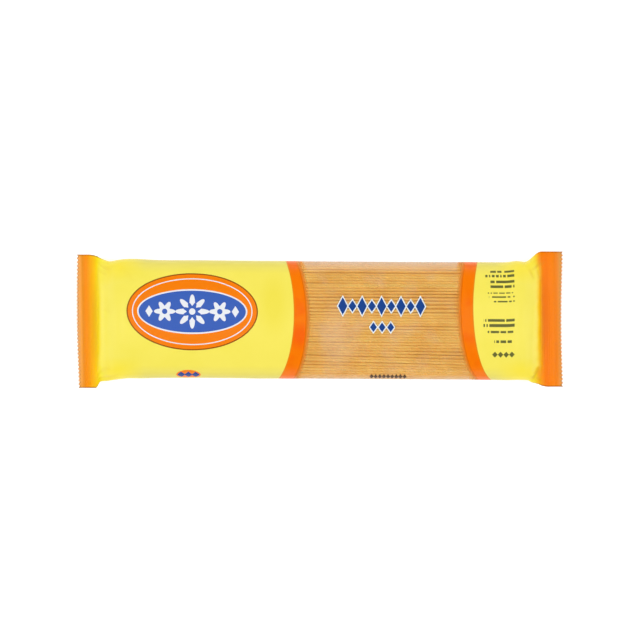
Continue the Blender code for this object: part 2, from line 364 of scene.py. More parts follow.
def film_point(x, g, lift=0.0):
    """The place in metres of the film's point x, g, as one row of x, y, z for each."""
    end = np.where(x < 0, -1, 1)
    reach = np.abs(x)
    seal_start = np.where(end < 0, SEAL_START[-1], SEAL_START[1])
    down = np.clip((reach - SHOULDER_START) / (seal_start - SHOULDER_START), 0, 1)
    full = (1 - down**SHOULDER_CURVE) ** SHOULDER_STEEPNESS
    lens = ease(down, LENS_FROM, 1.0)
    flat = ease(reach, seal_start, seal_start + 2.5 * MM)
    front = np.abs(g) <= QUARTER
    side = np.where(front, 1, -1)
    square = mix(np.where(front, TOP_SQUARE, BASE_SQUARE), LENS_SQUARE, lens)
    pressed = ease(reach, seal_start - 0.15 * MM, seal_start + 0.6 * MM)
    square = mix(square, SEAL_SQUARE, pressed)

    left_to_tip = (tip(end, g) - x) * end
    seal_rise = SEAL_THICKNESS / 2 * np.clip(left_to_tip / (0.5 * MM), 0.001, 1)
    rise = (HEIGHT - SEAL_THICKNESS) / 2 * full + seal_rise
    rise = rise + np.where(front, 0, BASE_PRESS * full)
    plus, minus = long_edges(x)
    half_width = (plus - minus) / 2
    across, up = along_arch(arch_share(g), half_width, rise, square)
    y = (plus + minus) / 2 + across * half_width
    ribs = RIB_HEIGHT / 2 * rib_wave(reach - seal_start - RIB_START)
    middle = mix(SEAL_Z, (HEIGHT - SEAL_THICKNESS) / 2, full) + ribs
    middle = middle - SEAL_DROOP * ease(reach, seal_start, TIP[1])
    wavy = soft_noise(x, y, SEAL_WAVE[0], SEAL_WAVE[1], 3.1) * SEAL_WAVE[2]
    middle = middle + wavy * ease(reach, seal_start - 5 * MM, seal_start)

    printed = ease(past_window(x, g), 4 * MM, 16 * MM)
    out = -TIGHT * full
    for long, wide, on_clear, on_printed, seed in UNEVEN:
        height = mix(on_clear, on_printed, printed) * MM
        out = out + soft_noise(x, g, long * MM, wide * MM, seed) * height * full
    out = out + fold_height(x, g) * (1 - flat) * mix(SHALLOW, 1, printed)
    out = np.maximum(out, -FOLD_LIMIT * rise * mix(up, 1, full)) + lift
    lean_y = np.sign(across) * np.abs(across) ** (square - 1) / half_width
    lean_z = side * up ** (square - 1) / rise
    size = np.hypot(lean_y, lean_z)
    y = y + out * lean_y / size
    z = middle + side * up * rise + out * lean_z / size
    ground = FLAP_ROOM * (1 - ease(np.abs(y), FLAP_HALF + 0.5 * MM, FLAP_HALF + 5 * MM)) - lift
    return np.stack([x, y, np.maximum(z, np.maximum(ground, FLOOR_ROOM))], axis=1)


# %% [markdown]
# ## The film itself
#
# The sheet starts as one flat grid. Its columns follow the cut edges, the seals and the arcs, so
# that the ink's edge is an edge of the mesh, and every other row stands back at both ends, which
# cuts the row of zigzag teeth. The grid is then rolled up by the function above and its long
# sides are merged. The two printed ends and the clear stretch between them are three pieces, cut
# from the same grid, so they meet exactly. A Solidify modifier gives them their thickness.

# %% The grid's columns
STRETCHES = [  # the columns between one line and the next
    ("tip_left", 0),
    ("seal_left", 34),
    ("shoulder_left", 40),
    ("band_left", 76),
    ("window_left", 6),
    ("window_right", 90),
    ("band_right", 8),
    ("shoulder_right", 20),
    ("seal_right", 40),
    ("tip_right", 34),
]
row_g = (np.arange(ROWS + 1) / ROWS - 0.5) * GIRTH
row_y = body_place(row_g)
level = np.ones_like(row_g)
lines = {
    "tip_left": tip(-1, row_g),
    "seal_left": -SEAL_START[-1] * level,
    "shoulder_left": -112 * MM * level,
    "band_left": band_edge(-1, row_y),
    "window_left": window_edge(-1, row_y),
    "window_right": window_edge(1, row_y),
    "band_right": band_edge(1, row_y),
    "shoulder_right": 112 * MM * level,
    "seal_right": SEAL_START[1] * level,
    "tip_right": tip(1, row_g),
}
columns = [lines["tip_left"]]
first_column = {"tip_left": 0}
for (before, _), (name, count) in zip(STRETCHES, STRETCHES[1:]):
    for step in range(1, count + 1):
        columns.append(mix(lines[before], lines[name], step / count))
    first_column[name] = len(columns) - 1
grid_x = np.array(columns)
print("grid of", grid_x.shape[0], "by", grid_x.shape[1], "points")


# %% Roll up a stretch of the film
CHART_X = 300 * MM  # the length of film that the UV map is as wide as
MERGE = 0.002 * MM


def shown_object(name, bm, smooth=True):
    """Turns a bmesh into an object at the origin, in the scene."""
    mesh = bpy.data.meshes.new(name)
    bm.to_mesh(mesh)
    bm.free()
    if smooth:
        mesh.shade_smooth()
    made = bpy.data.objects.new(name, mesh)
    bpy.context.scene.collection.objects.link(made)
    return made


def film_layers(bm, x, g, keys):
    """Writes the place on the flat film into a UV map, and its distances in mm into attributes."""
    chart = bm.loops.layers.uv.new("film")
    cut = np.minimum(x - tip(-1, g, 0), tip(1, g, 0) - x)
    # The depth of the placed folds' valleys, which the printed film's material darkens with painted
    # shade.
    valley = np.clip(-fold_height(x, g, folds[:placed]) / MM, 0, 1)
    values = {
        "past_window": past_window(x, g) / MM,
        "past_band": past_band(x, g) / MM,
        "to_cut": cut / MM,
        "valley": valley,
    }
    for name, value in values.items():
        layer = bm.verts.layers.float.new(name)
        for vert in bm.verts:
            vert[layer] = value[vert[keys]]
    for face in bm.faces:
        for loop in face.loops:
            at = loop.vert[keys]
            loop[chart].uv = (x[at] / CHART_X + 0.5, g[at] / GIRTH + 0.5)


def rolled(x_table, g_row, lift_row):
    """A bmesh of the film's stretch whose points are x_table by g_row, in its place on the pack."""
    bm = bmesh.new()
    rows, cols = len(g_row) - 1, len(x_table) - 1
    bmesh.ops.create_grid(bm, x_segments=cols, y_segments=rows, size=0.5)
    keys = bm.verts.layers.int.new("key")
    column = [round((v.co.x + 0.5) * cols) for v in bm.verts]
    row = [round((v.co.y + 0.5) * rows) for v in bm.verts]
    x = x_table[column, row]
    g = g_row[row]
    places = film_point(x, g, lift_row[row])
    for number, (vert, place) in enumerate(zip(bm.verts, places)):
        vert[keys] = number
        vert.co = place
    film_layers(bm, x, g, keys)
    bm.verts.layers.int.remove(keys)
    return bm


def turned(bm, above, up):
    """Makes the faces above a height look up or down, and all others agree with them."""
    bmesh.ops.recalc_face_normals(bm, faces=bm.faces)
    looks = sum(face.normal.z for face in bm.faces if face.calc_center_median().z > above)
    if (looks > 0) != up:
        bmesh.ops.reverse_faces(bm, faces=bm.faces)
    return bm


def film_piece(first, last):
    """The film from one column to another, closed along the back and at the cut ends."""
    piece = rolled(grid_x[first : last + 1], row_g, 0 * row_g)
    bmesh.ops.remove_doubles(piece, verts=piece.verts, dist=MERGE)
    return turned(piece, 0.6 * HEIGHT, True)


# %% [markdown]
# The back seam is where the film's long edges are sealed face to face. The fin that they make is
# folded over and lies flat along the back, 11 mm wide. It is one more strip of the same grid,
# lifted off the body by its own thickness, with the lengthwise ridges of the sealing wheels.

# %% The flap of the back seam
FLAP_ROWS = 22
FLAP_LIFT = 0.24 * MM
FOLD_LIFT = 0.03 * MM
FLAP_RIDGE = 0.1 * MM
FLAP_TRIM = 5  # columns by which it ends short of the cut


def flap_piece(first, last):
    """The flap from one column to another. Its +Y edge is the fold, which touches the body."""
    across = np.linspace(FLAP_HALF, -FLAP_HALF, FLAP_ROWS + 1)
    g_row = np.where(across < 0, -2 * QUARTER - across, 2 * QUARTER - across)
    lift_row = FLAP_LIFT + FLAP_RIDGE * (np.arange(FLAP_ROWS + 1) % 2)
    lift_row[0] = FOLD_LIFT
    first, last = max(first, FLAP_TRIM), min(last, len(grid_x) - 1 - FLAP_TRIM)
    table = np.repeat(grid_x[first : last + 1, :1], FLAP_ROWS + 1, axis=1)
    return turned(rolled(table, g_row, lift_row), 0, False)


def joined(name, parts):
    """One object from several bmeshes."""
    whole = bmesh.new()
    for part in parts:
        carrier = bpy.data.meshes.new("carrier")
        part.to_mesh(carrier)
        part.free()
        whole.from_mesh(carrier)
        bpy.data.meshes.remove(carrier)
    for edge in whole.edges:
        edge.smooth = not edge.is_boundary
    return shown_object(name, whole)


def film_stretch(name, start, stop, rim=True):
    """One stretch of the film with its share of the flap, from one line of the grid to another."""
    first, last = first_column[start], first_column[stop]
    made = joined(name, [film_piece(first, last), flap_piece(first, last)])
    solid = made.modifiers.new("film_thickness", "SOLIDIFY")
    solid.thickness = FILM
    solid.offset = -1
    solid.use_rim = rim
    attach(made, "root")
    print(name, len(made.data.polygons), "faces")
    return made


left_film = film_stretch("printed_film_left", "tip_left", "window_left")
right_film = film_stretch("printed_film_right", "window_right", "tip_right")
clear_film = film_stretch("clear_film", "window_left", "window_right", rim=False)
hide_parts("film_wrap")
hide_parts("film_wrap")

# %% [markdown]
# ## The spaghetti
#
# Spaghetti is extruded dough, dried straight: rods of 1.7 mm that lie side by side. Only the outer
# rods show. Each is a cone with equal ends, cut into a few stretches so that it can bow a little.
# They stand in two layers over a plain core, which stops the eye from seeing into the bundle.
# A number on each rod, kept as an attribute, lets the material make every rod slightly different.

# %% One rod
ROD = 1.82 * MM  # slightly more than the real 1.7 mm, so that neighbours touch
ROD_PITCH = 1.64 * MM
ROD_SIDES = 12
ROD_CUTS = 6
ROD_SEED = 23
FILM_ROOM = 0.35 * MM
HIDDEN_END = 3 * MM  # how far a rod runs on under the print
CORE_INSET = FILM_ROOM + ROD * 0.9
LAYER_INSETS = (FILM_ROOM + ROD / 2, FILM_ROOM + ROD * 1.2)  # of the rods' axes
ROD_SINK = 0.09 * MM  # the most that a rod lies deeper than its neighbours
ROD_WANDER = 0.08 * MM  # the most that a rod's middle bows aside
# Where neighbours part: y at the left and right of the clear stretch, and the gap there, in mm
GAPS = [
    (30.5, 30.0, 0.35, 0.3),
    (28.5, 27.8, 0.35, 0.35),
    (22.4, 21.4, 0.5, 0.0),
    (19.3, 19.2, 0.2, 0.25),
    (13.8, 13.4, 0.2, 0.1),
    (9.6, 9.2, 0.0, 0.3),
    (7.2, 6.6, 0.0, 0.25),
    (5.0, 4.1, 0.0, 0.35),
    (-3.4, -4.3, 0.0, 0.45),
    (-5.2, -6.1, 0.05, 0.4),
    (-9.9, -11.0, 0.45, 0.1),
    (-13.1, -13.8, 0.45, 0.25),
    (-18.0, -19.2, 0.0, 0.3),
    (-20.9, -23.6, 0.4, 0.4),
    (-24.6, -27.1, 0.5, 0.2),
    (-31.9, -32.7, 0.3, 0.3),
]


OUTLINE_POINTS = 1200


def bundle_arch(inset):
    """Points round the bundle's outline, inset from the outside of the film, and its length."""
    turn = np.linspace(-2 * QUARTER, 2 * QUARTER, OUTLINE_POINTS + 1)[:-1]
    top = np.abs(turn) <= QUARTER
    one = np.ones_like(turn)
    square = np.where(top, TOP_SQUARE, BASE_SQUARE)
    rise = (HEIGHT / 2 - inset) * one
    across, up = along_arch(arch_share(turn), (BODY_HALF - inset) * one, rise, square)
    y = across * (BODY_HALF - inset)
    z = HEIGHT / 2 + np.where(top, 1, -1) * up * rise
    lifted = FLAP_ROOM * (1 - ease(np.abs(y), 7 * MM, 11 * MM))
    z = np.maximum(z, inset + 0.1 * MM + lifted)
    outline = np.stack([y, z], axis=1)
    steps = np.linalg.norm(np.roll(outline, -1, axis=0) - outline, axis=1)
    return outline, np.concatenate([[0], steps.cumsum()])


def rod_shape():
    """A straight rod along X, 1 m long and closed at both ends."""
    bm = bmesh.new()
    along_x = Matrix.Rotation(math.pi / 2, 4, "Y")
    bmesh.ops.create_cone(
        bm, cap_ends=True, segments=ROD_SIDES, radius1=ROD / 2, radius2=ROD / 2, depth=1,
        matrix=along_x,
    )
    long = [edge for edge in bm.edges if edge.calc_length() > 0.5]
    bmesh.ops.subdivide_edges(bm, edges=long, cuts=ROD_CUTS, use_grid_fill=True)
    mesh = bpy.data.meshes.new("rod")
    bm.to_mesh(mesh)
    bm.free()
    return mesh


# %% [markdown]
# Strands never lie quite parallel. Where two neighbours part, the eye sees past them into the
# bundle, and a dark line shows. The stronger lines of the photograph are listed above, and between
# two of them the outer rods lie evenly, side by side. Their places are lengths along the bundle's
# outline, so the rods follow it round the sides and underneath, where they are spread evenly too.

# %% Places of the rods
OUTER_JITTER, INNER_JITTER = 0.03 * MM, 0.3 * MM


def outer_places(outline, run):
    """For each outer rod: its place along the outline at the left end and at the right end."""
    top = outline[:, 1] > HEIGHT / 2
    order = np.argsort(outline[top, 0])
    ends = []
    for side, shift in ((0, WINDOW_LEFT), (1, WINDOW_RIGHT)):
        lines = np.array([gap[side] * MM - AXIS_SLOPE * shift for gap in reversed(GAPS)])
        at = np.interp(lines, outline[top, 0][order], run[:-1][top][order])
        wide = np.array([gap[2 + side] * MM for gap in reversed(GAPS)])
        ends.append((at, wide))
    places = []
    for number in range(len(GAPS)):
        spans = []
        for at, wide in ends:
            last = number == len(GAPS) - 1
            start = at[number] + wide[number] / 2
            stop = at[0] + run[-1] - wide[0] / 2 if last else at[number + 1] - wide[number + 1] / 2
            spans.append((start, stop))
        count = max(1, round(sum(stop - start for start, stop in spans) / 2 / ROD_PITCH))
        for rod in range(count):
            places.append([mix(a, b, (rod + 0.5) / count) for a, b in spans])
    return places


def rod_places():
    """For each rod: the y and z of its left end and of its right end."""
    places = []
    for layer, inset in enumerate(LAYER_INSETS):
        outline, run = bundle_arch(inset)
        if layer == 0:
            spans = outer_places(outline, run)
        else:
            count = int(run[-1] / ROD_PITCH)
            spans = [[(n + 0.5) / count * run[-1] + random.gauss(0, INNER_JITTER) for side in (0, 1)]
                     for n in range(count)]
        for span in spans:
            ends = []
            for at in span:
                at = at + random.gauss(0, OUTER_JITTER)
                ends.append([np.interp(at % run[-1], run[:-1], outline[:, i]) for i in (0, 1)])
            sink = random.uniform(0, ROD_SINK)
            for end in ends:
                end[1] += -sink if end[1] > HEIGHT / 2 else sink
            places.append(ends)
    return places


def spaghetti_bundle():
    """All the rods as one object, each bowed a little and with a tone of its own."""
    random.seed(ROD_SEED)
    rod = rod_shape()
    base = np.empty(3 * len(rod.vertices))
    rod.vertices.foreach_get("co", base)
    base = base.reshape(-1, 3)
    points, tones = [], []
    bm = bmesh.new()
    for (y0, z0), (y1, z1) in rod_places():
        bm.from_mesh(rod)
        y = (y0 + y1) / 2
        low, high = (float(window_edge(side, y)) + side * HIDDEN_END for side in (-1, 1))
        x = mix(low, high, base[:, 0] + 0.5)
        along = (x - WINDOW_LEFT) / (WINDOW_RIGHT - WINDOW_LEFT)
        turn = random.uniform(0, 2 * math.pi)
        side_y = base[:, 1] * math.cos(turn) - base[:, 2] * math.sin(turn)
        side_z = base[:, 1] * math.sin(turn) + base[:, 2] * math.cos(turn)
        bow = np.sin(np.pi * np.clip(along, 0, 1))
        wander = random.uniform(-ROD_WANDER, ROD_WANDER) * bow
        axis_y = mix(y0, y1, along) + AXIS_SLOPE * x + wander
        points.append(np.stack([x, axis_y + side_y, mix(z0, z1, along) + side_z], axis=1))
        tones.append(np.full(len(base), random.random()))
    made = shown_object("spaghetti_rods", bm)
    made.data.vertices.foreach_set("co", np.concatenate(points).ravel())
    tone = made.data.attributes.new("rod_tone", "FLOAT", "POINT")
    tone.data.foreach_set("value", np.concatenate(tones))
    made.data.update()
    bpy.data.meshes.remove(rod)
    print(len(points), "rods,", len(made.data.polygons), "faces")
    return made


rods = spaghetti_bundle()
rods.data.set_sharp_from_angle(angle=math.radians(50))
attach(rods, "root")
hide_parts("spaghetti")


# %% The core under the rods
CORE_STRIDE = 12  # every so many points of the outline


def bundle_core():
    """A plain bar inside the rods, drawn as one ring of points and extruded along the bundle."""
    outline = bundle_arch(CORE_INSET)[0]
    bm = bmesh.new()
    ring = [bm.verts.new((0, *map(float, point))) for point in outline[::CORE_STRIDE]]
    face = bm.faces.new(ring)
    raised = bmesh.ops.extrude_face_region(bm, geom=[face])["geom"]
    far = [item for item in raised if isinstance(item, bmesh.types.BMVert)]
    for verts, side in ((ring, -1), (far, 1)):
        for vert in verts:
            y = np.float64(vert.co.y)
            vert.co.x = float(window_edge(side, y)) + side * HIDDEN_END
            vert.co.y += AXIS_SLOPE * vert.co.x
    bmesh.ops.recalc_face_normals(bm, faces=bm.faces)
    return shown_object("spaghetti_core", bm, smooth=False)


core = bundle_core()
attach(core, "root")

# %% [markdown]
# ## Materials
#
# Colours are written as sRGB hex values, as a colour picker on the photograph shows them, and one
# function turns them to the linear values that Blender works in. One more small function adds a
# node, sets it and links it, which is all that any material here needs. In a map range, inputs 1
# and 2 say where on the film or in a noise the range starts and stops, and inputs 3 and 4 say how
# strong the ink is there, from 0 to 1 where they are left out. Places on the film are in mm.

# %% Colour and node helpers
def linear(code, alpha=1.0):
    """A sRGB hex colour as linear RGBA."""
    parts = [int(code[i : i + 2], 16) / 255 for i in (1, 3, 5)]
    return (*[v / 12.92 if v <= 0.04045 else ((v + 0.055) / 1.055) ** 2.4 for v in parts], alpha)


def add(tree, kind, inputs=None, out=0, **settings):
    """Adds a node. inputs gives each socket a value or another node's output."""
    made = tree.nodes.new(kind)
    for name, value in settings.items():
        setattr(made, name, value)
    for key, value in (inputs or {}).items():
        if isinstance(value, bpy.types.NodeSocket):
            tree.links.new(value, made.inputs[key])
        else:
            made.inputs[key].default_value = value
    return made.outputs[out]


def blank_material(name):
    """A material with only a Principled shader: the material, its tree and the shader."""
    made = bpy.data.materials.new(name)
    made.use_nodes = True
    tree = made.node_tree
    return made, tree, tree.nodes["Principled BSDF"]


# %% [markdown]
# ### Printed film
#
# The film is biaxially oriented polypropylene, printed on a gravure press: flat, bright inks under
# a clear gloss. Its yellow is very even, and only slightly deeper in soft patches. Painted shade
# darkens it along the long sides and in the valleys of the folds, and deepens it at the corners of
# the shoulders. At both ends the print runs from yellow through gold to orange across a few
# millimetres, and the outermost strip, past the last ink, is paler. The fields are drawn on the flat
# film's own coordinates.

# %% The end colours, by their place along the pack in mm
YELLOW = "#FCED62"
YELLOW_DEEP = "#F6E64E"
# The side colour is painted shade: the long sides are drawn darker, where the film turns away from the
# light.
SIDE_SHADE_YELLOW = "#E6D868"
END_COLOURS = [
    (-147.6, "#ECAC6C"),
    (-146.4, "#F4A85A"),
    (-145.4, "#FFAA44"),
    (-144.6, "#F59A2E"),
    (-144.1, "#EE8E12"),
    (-143.5, "#F78F02"),
    (-142.0, "#FF9300"),
    (-140.9, "#FB9700"),
    (-139.6, "#FFAB00"),
    (-138.3, "#FFB600"),
    (-137.0, "#FFC400"),
    (-135.9, "#FFD204"),
    (-134.9, "#FFE318"),
    (-134.0, "#FFEC2E"),
    (-132.6, "#FFF04A"),
    (-126.0, YELLOW),
    (126.0, YELLOW),
    (130.0, "#FFEE52"),
    (131.9, "#FFE530"),
    (132.6, "#FBD40C"),
    (133.2, "#FAC804"),
    (133.9, "#FFBB02"),
    (134.8, "#FFA400"),
    (135.5, "#FF9000"),
    (136.1, "#FB7E00"),
    (137.0, "#FF7E00"),
    (137.9, "#F87700"),
    (138.6, "#FF8000"),
    (141.5, "#FF8500"),
    (143.4, "#F68108"),
    (144.6, "#F98A20"),
    (146.2, "#E69A48"),
]


def film_chart(tree):
    """The place on the flat film in mm: x along the pack, y round it from the middle of the front."""
    chart = add(tree, "ShaderNodeUVMap", uv_map="film")
    scale = (CHART_X / MM, GIRTH / MM, 0)
    shift = (-CHART_X / MM / 2, -GIRTH / MM / 2, 0)
    return add(tree, "ShaderNodeMapping", {"Vector": chart, "Scale": scale, "Location": shift})


def end_ramp(tree, along):
    """The yellow body and both coloured ends, by the place along the pack in mm."""
    low, high = -150.0, 150.0
    share = add(tree, "ShaderNodeMapRange", {0: along, 1: low, 2: high})
    ramp = tree.nodes.new("ShaderNodeValToRGB")
    stops = ramp.color_ramp.elements
    stops[0].position = (END_COLOURS[0][0] - low) / (high - low)
    stops[0].color = linear(END_COLOURS[0][1])
    stops[1].position = (END_COLOURS[-1][0] - low) / (high - low)
    stops[1].color = linear(END_COLOURS[-1][1])
    for place, code in END_COLOURS[1:-1]:
        stop = stops.new((place - low) / (high - low))
        stop.color = linear(code)
    tree.links.new(share, ramp.inputs[0])
    return ramp.outputs[0]


# %% [markdown]
# ### The motifs of the print
#
# The front carries an ornament on each stretch. The motifs here are plain figures: an oval
# medallion with rosettes on the left panel, rows of short dashes on the right one and rows of
# lozenges on the clear stretch. Each is a test on the flat film's coordinates: a length compared
# with a size gives an oval, and the sum of two distances gives a lozenge. Every motif is a mask,
# and the masks are painted in turn.

# %% Ovals and rosettes as masks
def oval_distance(tree, chart, centre, half):
    """0 at the middle of an oval and 1 on its edge."""
    scale = (1 / half[0], 1 / half[1], 0)
    shift = (-centre[0] / half[0], -centre[1] / half[1], 0)
    local = add(tree, "ShaderNodeMapping", {"Vector": chart, "Scale": scale, "Location": shift})
    return add(tree, "ShaderNodeVectorMath", {0: local}, out=1, operation="LENGTH")


def oval(tree, chart, centre, half):
    far = oval_distance(tree, chart, centre, half)
    return add(tree, "ShaderNodeMath", {0: far, 1: 1.0}, operation="LESS_THAN")


def soft_oval(tree, chart, centre, half):
    """1 in the middle of an oval, and fading to 0 at its edge."""
    far = oval_distance(tree, chart, centre, half)
    return add(tree, "ShaderNodeMapRange", {0: far, 1: 1.0, 2: 0.3})


def rosette(tree, chart, centre, radius, petals, depth):
    """1 inside a flower whose edge waves in and out petals times."""
    shift = (-centre[0], -centre[1], 0)
    local = add(tree, "ShaderNodeVectorMath", {0: chart, 1: shift}, operation="ADD")
    parts = tree.nodes.new("ShaderNodeSeparateXYZ")
    tree.links.new(local, parts.inputs[0])
    far = add(tree, "ShaderNodeVectorMath", {0: local}, out=1, operation="LENGTH")
    turn = add(
        tree, "ShaderNodeMath", {0: parts.outputs[1], 1: parts.outputs[0]}, operation="ARCTAN2"
    )
    wave = add(tree, "ShaderNodeMath", {0: turn, 1: float(petals)}, operation="MULTIPLY")
    wave = add(tree, "ShaderNodeMath", {0: wave}, operation="COSINE")
    edge = add(
        tree, "ShaderNodeMath", {0: wave, 1: depth, 2: radius}, operation="MULTIPLY_ADD"
    )
    return add(tree, "ShaderNodeMath", {0: far, 1: edge}, operation="LESS_THAN")


# %% Rows of lozenges as masks
def lozenges(tree, chart, centre, half, pitch, count):
    """1 inside a row of lozenges, each pitch after the last."""
    shift = (-centre[0], -centre[1], 0)
    local = add(tree, "ShaderNodeVectorMath", {0: chart, 1: shift}, operation="ADD")
    middle = pitch / 2 if count % 2 == 0 else 0.0
    moved = add(tree, "ShaderNodeVectorMath", {0: local, 1: (middle, 0, 0)}, operation="ADD")
    wide = (pitch / 2, 500, 1)
    tiled = add(
        tree, "ShaderNodeVectorMath",
        {0: moved, 1: wide, 2: tuple(-v for v in wide)}, operation="WRAP",
    )
    share = add(
        tree, "ShaderNodeVectorMath",
        {0: tiled, 1: (1 / half[0], 1 / half[1], 0)}, operation="MULTIPLY",
    )
    size = add(tree, "ShaderNodeVectorMath", {0: share}, operation="ABSOLUTE")
    total = add(tree, "ShaderNodeVectorMath", {0: size, 1: (1, 1, 0)}, out=1, operation="DOT_PRODUCT")
    inside = add(tree, "ShaderNodeMath", {0: total, 1: 1.0}, operation="LESS_THAN")
    row = box(tree, local, (pitch * count / 2, 2 * half[1]))
    return add(tree, "ShaderNodeMath", {0: inside, 1: row}, operation="MULTIPLY")


def box(tree, local, half):
    """1 inside a box of the given half sizes round the origin of local."""
    size = add(tree, "ShaderNodeVectorMath", {0: local}, operation="ABSOLUTE")
    parts = tree.nodes.new("ShaderNodeSeparateXYZ")
    tree.links.new(size, parts.inputs[0])
    wide = add(tree, "ShaderNodeMath", {0: parts.outputs[0], 1: half[0]}, operation="LESS_THAN")
    tall = add(tree, "ShaderNodeMath", {0: parts.outputs[1], 1: half[1]}, operation="LESS_THAN")
    return add(tree, "ShaderNodeMath", {0: wide, 1: tall}, operation="MULTIPLY")


# %% [markdown]
# The rows of dashes all end at the panel's right margin, and each has its own height and length.
# A ramp with hard steps turns the place across the pack into the length of the row there, and is
# 0 between the rows. Each row is cut into short cells, and a random number drops some of them, so
# that the dashes come out in uneven lengths. One short row of lozenges stands below them all.

# %% Rows of dashes as one mask
DASH_END, CELL = 117.3, 0.85  # the right margin and the length of a cell, in mm
LONGEST_ROW = 20.0
ROWS_LOW, ROWS_HIGH = -24.0, 34.0  # the part of the film's width that the rows stand in
LAST_ROW = (110.6, -20.1)  # the middle of the row of lozenges
DASHES_KEPT = 0.84
DASH_ROWS = [  # the place across the film, the height and the length of each row, in mm
    (-12.4, 1.5, 12.3),
    (-6.7, 1.3, 16.3),
    (-2.8, 1.7, 18.8),
    (0.2, 1.7, 18.8),
    (11.5, 0.8, 12.5),
    (14.2, 0.8, 15.5),
    (16.6, 0.8, 16.5),
    (20.4, 1.5, 14.5),
    (23.3, 1.5, 14.5),
    (27.0, 1.5, 17.5),
    (29.8, 1.5, 15.0),
]


def dash_rows(tree, parts):
    """1 inside the dashes."""
    low, high = ROWS_LOW, ROWS_HIGH
    place = add(tree, "ShaderNodeMapRange", {0: parts.outputs[1], 1: low, 2: high})
    ramp = tree.nodes.new("ShaderNodeValToRGB")
    ramp.color_ramp.interpolation = "CONSTANT"
    stops = ramp.color_ramp.elements
    stops.remove(stops[1])
    stops[0].color = (0, 0, 0, 1)
    for number, (middle, tall, length) in enumerate(DASH_ROWS):
        for at, value in ((middle - tall / 2, length / LONGEST_ROW), (middle + tall / 2, 0)):
            stops.new((at - low) / (high - low)).color = (value, number / 20, 0, 1)
    tree.links.new(place, ramp.inputs[0])
    row = tree.nodes.new("ShaderNodeSeparateColor")
    tree.links.new(ramp.outputs[0], row.inputs[0])
    away = add(
        tree, "ShaderNodeMath", {0: DASH_END, 1: parts.outputs[0]}, operation="SUBTRACT"
    )
    share = add(tree, "ShaderNodeMath", {0: away, 1: LONGEST_ROW}, operation="DIVIDE")
    inside = add(tree, "ShaderNodeMath", {0: share, 1: row.outputs[0]}, operation="LESS_THAN")
    before = add(tree, "ShaderNodeMath", {0: away, 1: 0.0}, operation="GREATER_THAN")
    cell = add(tree, "ShaderNodeMath", {0: away, 1: CELL}, operation="DIVIDE")
    cell = add(tree, "ShaderNodeMath", {0: cell}, operation="FLOOR")
    key = add(tree, "ShaderNodeCombineXYZ", {0: cell, 1: row.outputs[1]})
    chance = add(tree, "ShaderNodeTexWhiteNoise", {"Vector": key}, noise_dimensions="2D")
    kept = add(tree, "ShaderNodeMath", {0: chance, 1: DASHES_KEPT}, operation="LESS_THAN")
    return product(tree, inside, before, kept)


# %% Inks over one another
def either(tree, masks):
    """1 where any of the masks is."""
    total = masks[0]
    for mask in masks[1:]:
        total = add(tree, "ShaderNodeMath", {0: total, 1: mask}, operation="MAXIMUM")
    return total


def product(tree, *factors):
    """The factors, masks or numbers, multiplied."""
    total = factors[0]
    for factor in factors[1:]:
        total = add(tree, "ShaderNodeMath", {0: total, 1: factor}, operation="MULTIPLY")
    return total


def painted(tree, colour, layers):
    """colour with each ink of layers painted over it in turn, as strongly as its mask says."""
    for code, mask in layers:
        colour = add(
            tree, "ShaderNodeMix", {0: mask, 6: colour, 7: linear(code)}, out=2, data_type="RGBA"
        )
    return colour


# %% The medallion and the small marks
BLUE = "#3E63BB"
DEEP_BLUE = "#1F4690"
CREAM = "#EDF0F4"
BLOCK_ORANGE = "#FB820E"
OUTLINE = "#8A4A16"
MEDALLION = (-77.0, 4.6)
SIDE_MARK = (-79.6, -34.6)


def medallion_layers(tree, chart):
    """An orange oval round a blue one, which holds three rosettes and two lozenges."""
    x, y = MEDALLION
    layers = [
        (OUTLINE, oval(tree, chart, MEDALLION, (39.6, 23.2))),
        (BLOCK_ORANGE, oval(tree, chart, MEDALLION, (38.9, 22.5))),
        (CREAM, oval(tree, chart, MEDALLION, (36.3, 20.0))),
        (BLOCK_ORANGE, oval(tree, chart, MEDALLION, (35.7, 19.4))),
        (CREAM, oval(tree, chart, MEDALLION, (33.2, 13.4))),
        (BLUE, oval(tree, chart, MEDALLION, (32.3, 12.5))),
        (CREAM, rosette(tree, chart, MEDALLION, 7.6, 8, 2.6)),
        (BLUE, rosette(tree, chart, MEDALLION, 4.6, 8, -1.2)),
        (CREAM, oval(tree, chart, MEDALLION, (1.9, 1.9))),
    ]
    for side in (-1, 1):
        flower = (x + side * 16.6, y)
        end = (x + side * 26.0, y)
        layers.append((CREAM, rosette(tree, chart, flower, 4.9, 6, 1.5)))
        layers.append((BLUE, oval(tree, chart, flower, (1.6, 1.6))))
        layers.append((CREAM, lozenges(tree, chart, end, (2.2, 3.4), 8.0, 1)))
    layers.append((BLOCK_ORANGE, oval(tree, chart, SIDE_MARK, (7.4, 3.6))))
    layers.append((DEEP_BLUE, lozenges(tree, chart, SIDE_MARK, (2.6, 2.4), 4.4, 3)))
    return layers


# %% [markdown]
# The gold of the right end reaches further in at the two corners, where the film is tucked, and
# its edge wavers a little. So the place that the end colours are looked up by is pushed outwards
# there. Thin darker lines follow the folded edges, because the eye looks along the film there and
# sees more ink. The valleys between the cut teeth are darkened with painted shadow.

# %% Where the end colours are looked up
PRINT_LEAN = 0.014  # the print lies a little askew, by this slope


